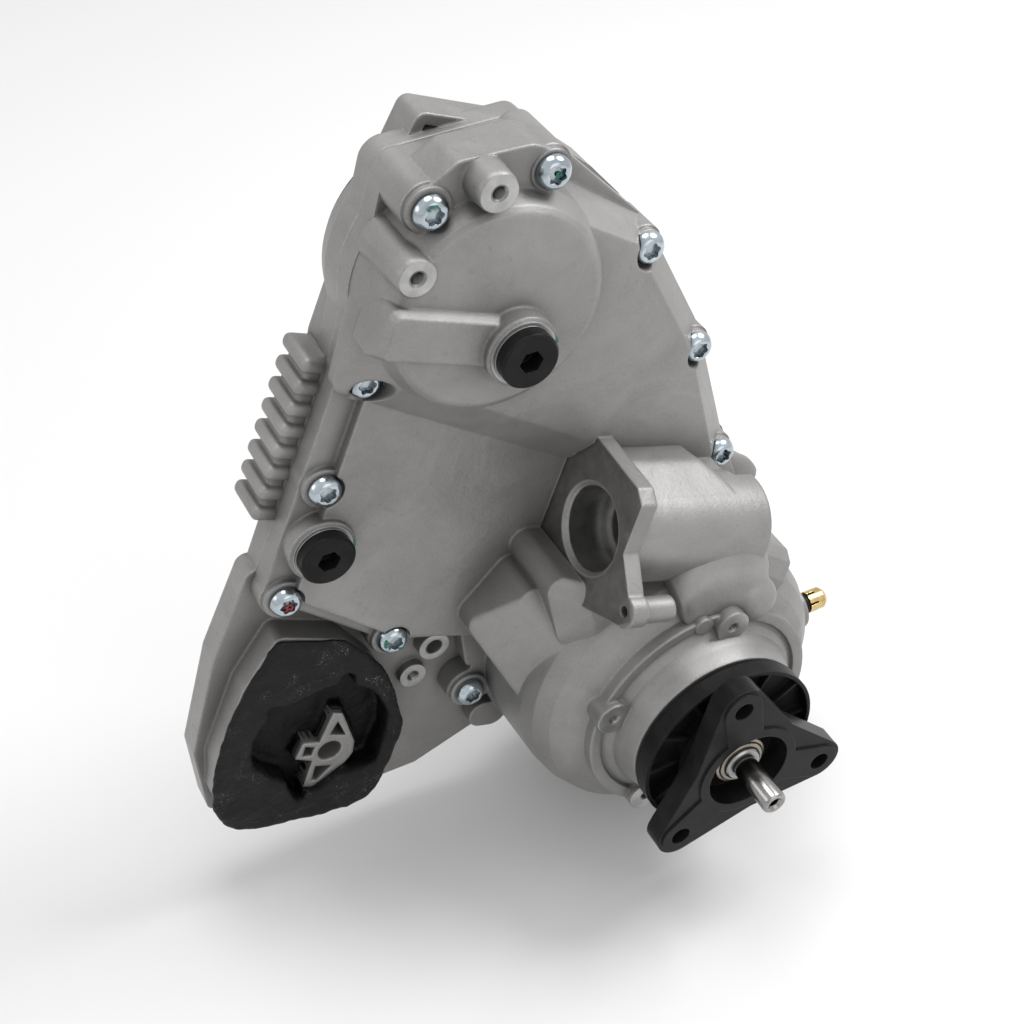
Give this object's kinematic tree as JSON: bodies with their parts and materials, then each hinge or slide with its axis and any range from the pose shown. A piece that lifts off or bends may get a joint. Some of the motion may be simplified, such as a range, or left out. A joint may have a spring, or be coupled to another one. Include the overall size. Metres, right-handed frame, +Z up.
{
  "type": "automotive transfer case",
  "caption": "Transfer case in two cast halves with a gear train, a motor-driven plate clutch, a three-arm output flange and a rubber support mount.",
  "frame": {"origin": "on the main shaft axis, in the joint plane of the two castings, inside the female shaft socket", "axes": "+Y along the shafts towards the gearbox, +Z up as fitted, +X to the side of the lower shaft; the flange looks along -Y"},
  "size_m": [0.3485, 0.221, 0.4238],
  "materials": {
    "cast": "satin as-cast aluminium with machined faces",
    "steel": "ground and turned steel",
    "zinc": "zinc-plated screws",
    "pin_steel": "polished hardened pin",
    "black_metal": "black phosphated and painted steel",
    "black_plastic": "black plastic",
    "rubber": "worn black rubber",
    "seal_rubber": "oil seal rubber",
    "brass": "plain brass",
    "bronze": "sintered bronze and friction lining"
  },
  "bodies": {
    "case": {"front_cover": "cast", "rear_housing": "cast", "cover_bolts": "zinc", "dowel_pins": "steel", "fill_plug": "black_metal", "drain_plug": "black_metal", "plug_washers": "steel", "vent_neck": "black_plastic", "vent_cap": "brass", "mount_rubber": "rubber", "mount_core": "cast", "gearbox_gasket": "seal_rubber", "main_bearing_front": "steel", "main_bearing_rear": "steel", "input_seal": "seal_rubber", "idler_pin": "steel", "idler_bearing": "steel", "lower_bearing_rear": "steel", "rear_output_seal": "seal_rubber", "output_bearing": "steel", "output_seal": "seal_rubber", "ramp_bearing": "steel", "worm_bearing_outer": "steel", "worm_bearing_inner": "steel", "worm_ring": "steel"},
    "input_drive": {"input_shaft": "steel", "drive_gear": "steel"},
    "idler": {"idler_gear": "steel"},
    "lower_drive": {"lower_gear": "steel", "lower_shaft": "steel", "side_socket": "steel", "clutch_drum": "steel", "steel_plates": "steel", "pilot_bush": "bronze"},
    "pressure_disc": {"pressure_plate": "steel"},
    "flange_drive": {"front_output_shaft": "steel", "clutch_hub": "steel", "friction_plates": "bronze", "output_flange": "black_metal", "dust_shield": "black_metal", "collar_nut": "steel", "centring_pin": "pin_steel"},
    "ramp": {"ramp_ring": "steel"},
    "pressure": {"pressure_ring": "steel", "ramp_balls": "steel", "apply_bearing": "steel"},
    "worm": {"worm_shaft": "steel"}
  },
  "joints": [
    {"name": "lower_drive_spin", "type": "hinge", "parent": "case", "child": "lower_drive", "pos_m": [0.09054, 0, -0.25012], "axis": [0, 1, 0], "continuous": true},
    {"name": "input_spin", "type": "hinge", "parent": "case", "child": "input_drive", "pos_m": [0, 0, 0], "axis": [0, 1, 0], "continuous": true},
    {"name": "idler_spin", "type": "hinge", "parent": "case", "child": "idler", "pos_m": [0.03197, 0, -0.12987], "axis": [0, 1, 0], "continuous": true},
    {"name": "flange_spin", "type": "hinge", "parent": "case", "child": "flange_drive", "pos_m": [0.09054, -0.06, -0.25012], "axis": [0, 1, 0], "continuous": true},
    {"name": "ramp_turn", "type": "hinge", "parent": "case", "child": "ramp", "pos_m": [0.09054, -0.06, -0.25012], "axis": [0, 1, 0], "range_deg": [0, 14]},
    {"name": "worm_spin", "type": "hinge", "parent": "case", "child": "worm", "pos_m": [0.12221, -0.052, -0.1631], "axis": [-0.9397, 0, 0.342], "range_deg": [0, 1148.5]},
    {"name": "pressure_slide", "type": "slide", "parent": "case", "child": "pressure", "axis": [0, 1, 0], "range_m": [0, 0.00121]},
    {"name": "disc_slide", "type": "slide", "parent": "lower_drive", "child": "pressure_disc", "axis": [0, 1, 0], "range_m": [0, 0.00121]}
  ],
  "couplings": [
    {"joint": "input_spin", "follows": "lower_drive_spin", "ratio": 1},
    {"joint": "idler_spin", "follows": "lower_drive_spin", "ratio": -0.50704},
    {"joint": "worm_spin", "follows": "ramp_turn", "ratio": 82},
    {"joint": "pressure_slide", "follows": "ramp_turn", "m_per_rad": 0.0049111},
    {"joint": "disc_slide", "follows": "ramp_turn", "m_per_rad": 0.0049111}
  ]
}
